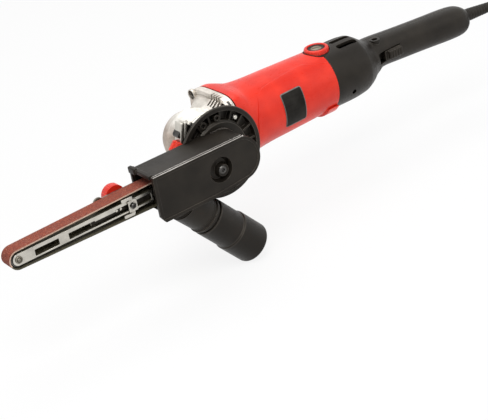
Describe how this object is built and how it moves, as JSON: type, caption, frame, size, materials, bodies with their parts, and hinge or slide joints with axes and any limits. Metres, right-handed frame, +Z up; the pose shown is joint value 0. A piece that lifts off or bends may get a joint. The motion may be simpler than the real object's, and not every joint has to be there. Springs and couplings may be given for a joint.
{
  "type": "handheld belt sander",
  "caption": "Corded handheld belt file sander: red motor body with black rear grip, guarded drive wheel, sprung arm with a narrow sanding belt, slanted dust pipe.",
  "frame": {"origin": "on the floor under the middle of the tool's own box, the lead not counted", "axes": "+X from the sanding nose towards the cord, +Y from the guard towards the lock button, +Z up"},
  "size_m": [0.7433, 0.1551, 0.1345],
  "materials": {
    "red_plastic": "smooth moulded, slight gloss",
    "black_plastic": "fine moulded texture",
    "cast_aluminium": "cast and blasted",
    "bright_steel": "bright plated",
    "dark_steel": "dark oxide",
    "copper": "bare copper",
    "brass": "plain",
    "carbon": "pressed carbon",
    "abrasive_cloth": "coated with brown grit on the outside, bare cloth inside",
    "drive_rubber": "matt",
    "cable_rubber": "matt, lightly polished by handling"
  },
  "bodies": {
    "tool": {"motor_housing": "red_plastic", "gear_case": "cast_aluminium", "gear_case_screw_1": "dark_steel", "gear_case_screw_2": "dark_steel", "gear_case_screw_3": "dark_steel", "gear_case_screw_4": "dark_steel", "bearing_cover": "cast_aluminium", "spindle_bearing": "bright_steel", "spindle_top_bearing": "bright_steel", "front_bearing": "bright_steel", "rear_bearing": "bright_steel", "bearing_bridge": "black_plastic", "stator_core": "dark_steel", "brush_holder_left": "brass", "brush_holder_right": "brass", "carbon_brush_left": "carbon", "carbon_brush_right": "carbon", "handle_left": "black_plastic", "handle_right": "black_plastic", "handle_screw_cap": "dark_steel", "handle_screw_rear": "dark_steel", "switch_module": "black_plastic", "speed_controller": "black_plastic", "strain_relief": "cable_rubber", "power_cord": "cable_rubber", "cord_coil": "cable_rubber", "coil_tie": "black_plastic", "power_plug": "cable_rubber", "plug_pin_left": "brass", "plug_pin_right": "brass"},
    "armature": {"armature_shaft": "bright_steel", "pinion": "dark_steel", "cooling_fan": "black_plastic", "armature_core": "dark_steel", "commutator": "copper"},
    "spindle": {"spindle": "bright_steel", "bevel_gear": "dark_steel", "drive_wheel": "drive_rubber", "wheel_nut": "bright_steel"},
    "head": {"clamp_ring": "bright_steel", "clamp_bolt": "bright_steel", "guard_disc": "black_plastic", "guard_body": "black_plastic", "guard_cover": "black_plastic", "cover_screw": "dark_steel", "dust_pipe": "black_plastic", "arm_bar": "bright_steel", "guide_plate": "bright_steel", "guide_screw": "dark_steel", "tracking_plate": "bright_steel", "sanding_belt": "abrasive_cloth", "tension_spring": "bright_steel"},
    "arm": {"sliding_arm": "cast_aluminium", "nose_pin": "bright_steel"},
    "nose": {"nose_roller": "dark_steel"},
    "tracking": {"tracking_knob": "red_plastic"},
    "clamp": {"clamp_knob": "red_plastic"},
    "switch": {"slide_switch": "black_plastic"},
    "dial": {"speed_dial": "red_plastic"},
    "lock": {"spindle_lock_button": "black_plastic"}
  },
  "joints": [
    {"name": "head_swivel", "type": "hinge", "parent": "tool", "child": "head", "pos_m": [-0.06987, 0.01955, 0.09576], "axis": [0, 1, 0], "range_deg": [-60, 60]},
    {"name": "armature_spin", "type": "hinge", "parent": "tool", "child": "armature", "pos_m": [-0.06987, 0.01955, 0.09576], "axis": [1, 0, 0], "continuous": true},
    {"name": "spindle_spin", "type": "hinge", "parent": "tool", "child": "spindle", "pos_m": [-0.06987, 0.01955, 0.09576], "axis": [0, 1, 0], "continuous": true},
    {"name": "arm_slide", "type": "slide", "parent": "head", "child": "arm", "axis": [1, 0, 0], "range_m": [0, 0.008], "stiffness_N_per_m": 1500, "springref_m": -0.004, "deforming": ["tension_spring", "sanding_belt"]},
    {"name": "roller_spin", "type": "hinge", "parent": "arm", "child": "nose", "pos_m": [-0.26837, -0.02985, 0.09576], "axis": [0, 1, 0], "continuous": true},
    {"name": "tracking_turn", "type": "hinge", "parent": "head", "child": "tracking", "pos_m": [-0.17187, -0.02245, 0.10056], "axis": [0, 1, 0], "range_deg": [-180, 180]},
    {"name": "clamp_turn", "type": "hinge", "parent": "head", "child": "clamp", "pos_m": [-0.09285, -0.0079, 0.11874], "axis": [0.7071, 0, 0.7071], "range_deg": [0, 360]},
    {"name": "switch_slide", "type": "slide", "parent": "tool", "child": "switch", "axis": [-1, 0, 0], "range_m": [0, 0.007]},
    {"name": "dial_turn", "type": "hinge", "parent": "tool", "child": "dial", "pos_m": [0.06763, 0.01955, 0.12126], "axis": [0, 0, 1], "range_deg": [0, 270]},
    {"name": "lock_press", "type": "slide", "parent": "tool", "child": "lock", "axis": [0, -1, 0], "range_m": [0, 0.003], "stiffness_N_per_m": 600}
  ],
  "couplings": [
    {"joint": "spindle_spin", "follows": "armature_spin", "ratio": 0.33333},
    {"joint": "roller_spin", "follows": "armature_spin", "ratio": 0.55051}
  ]
}
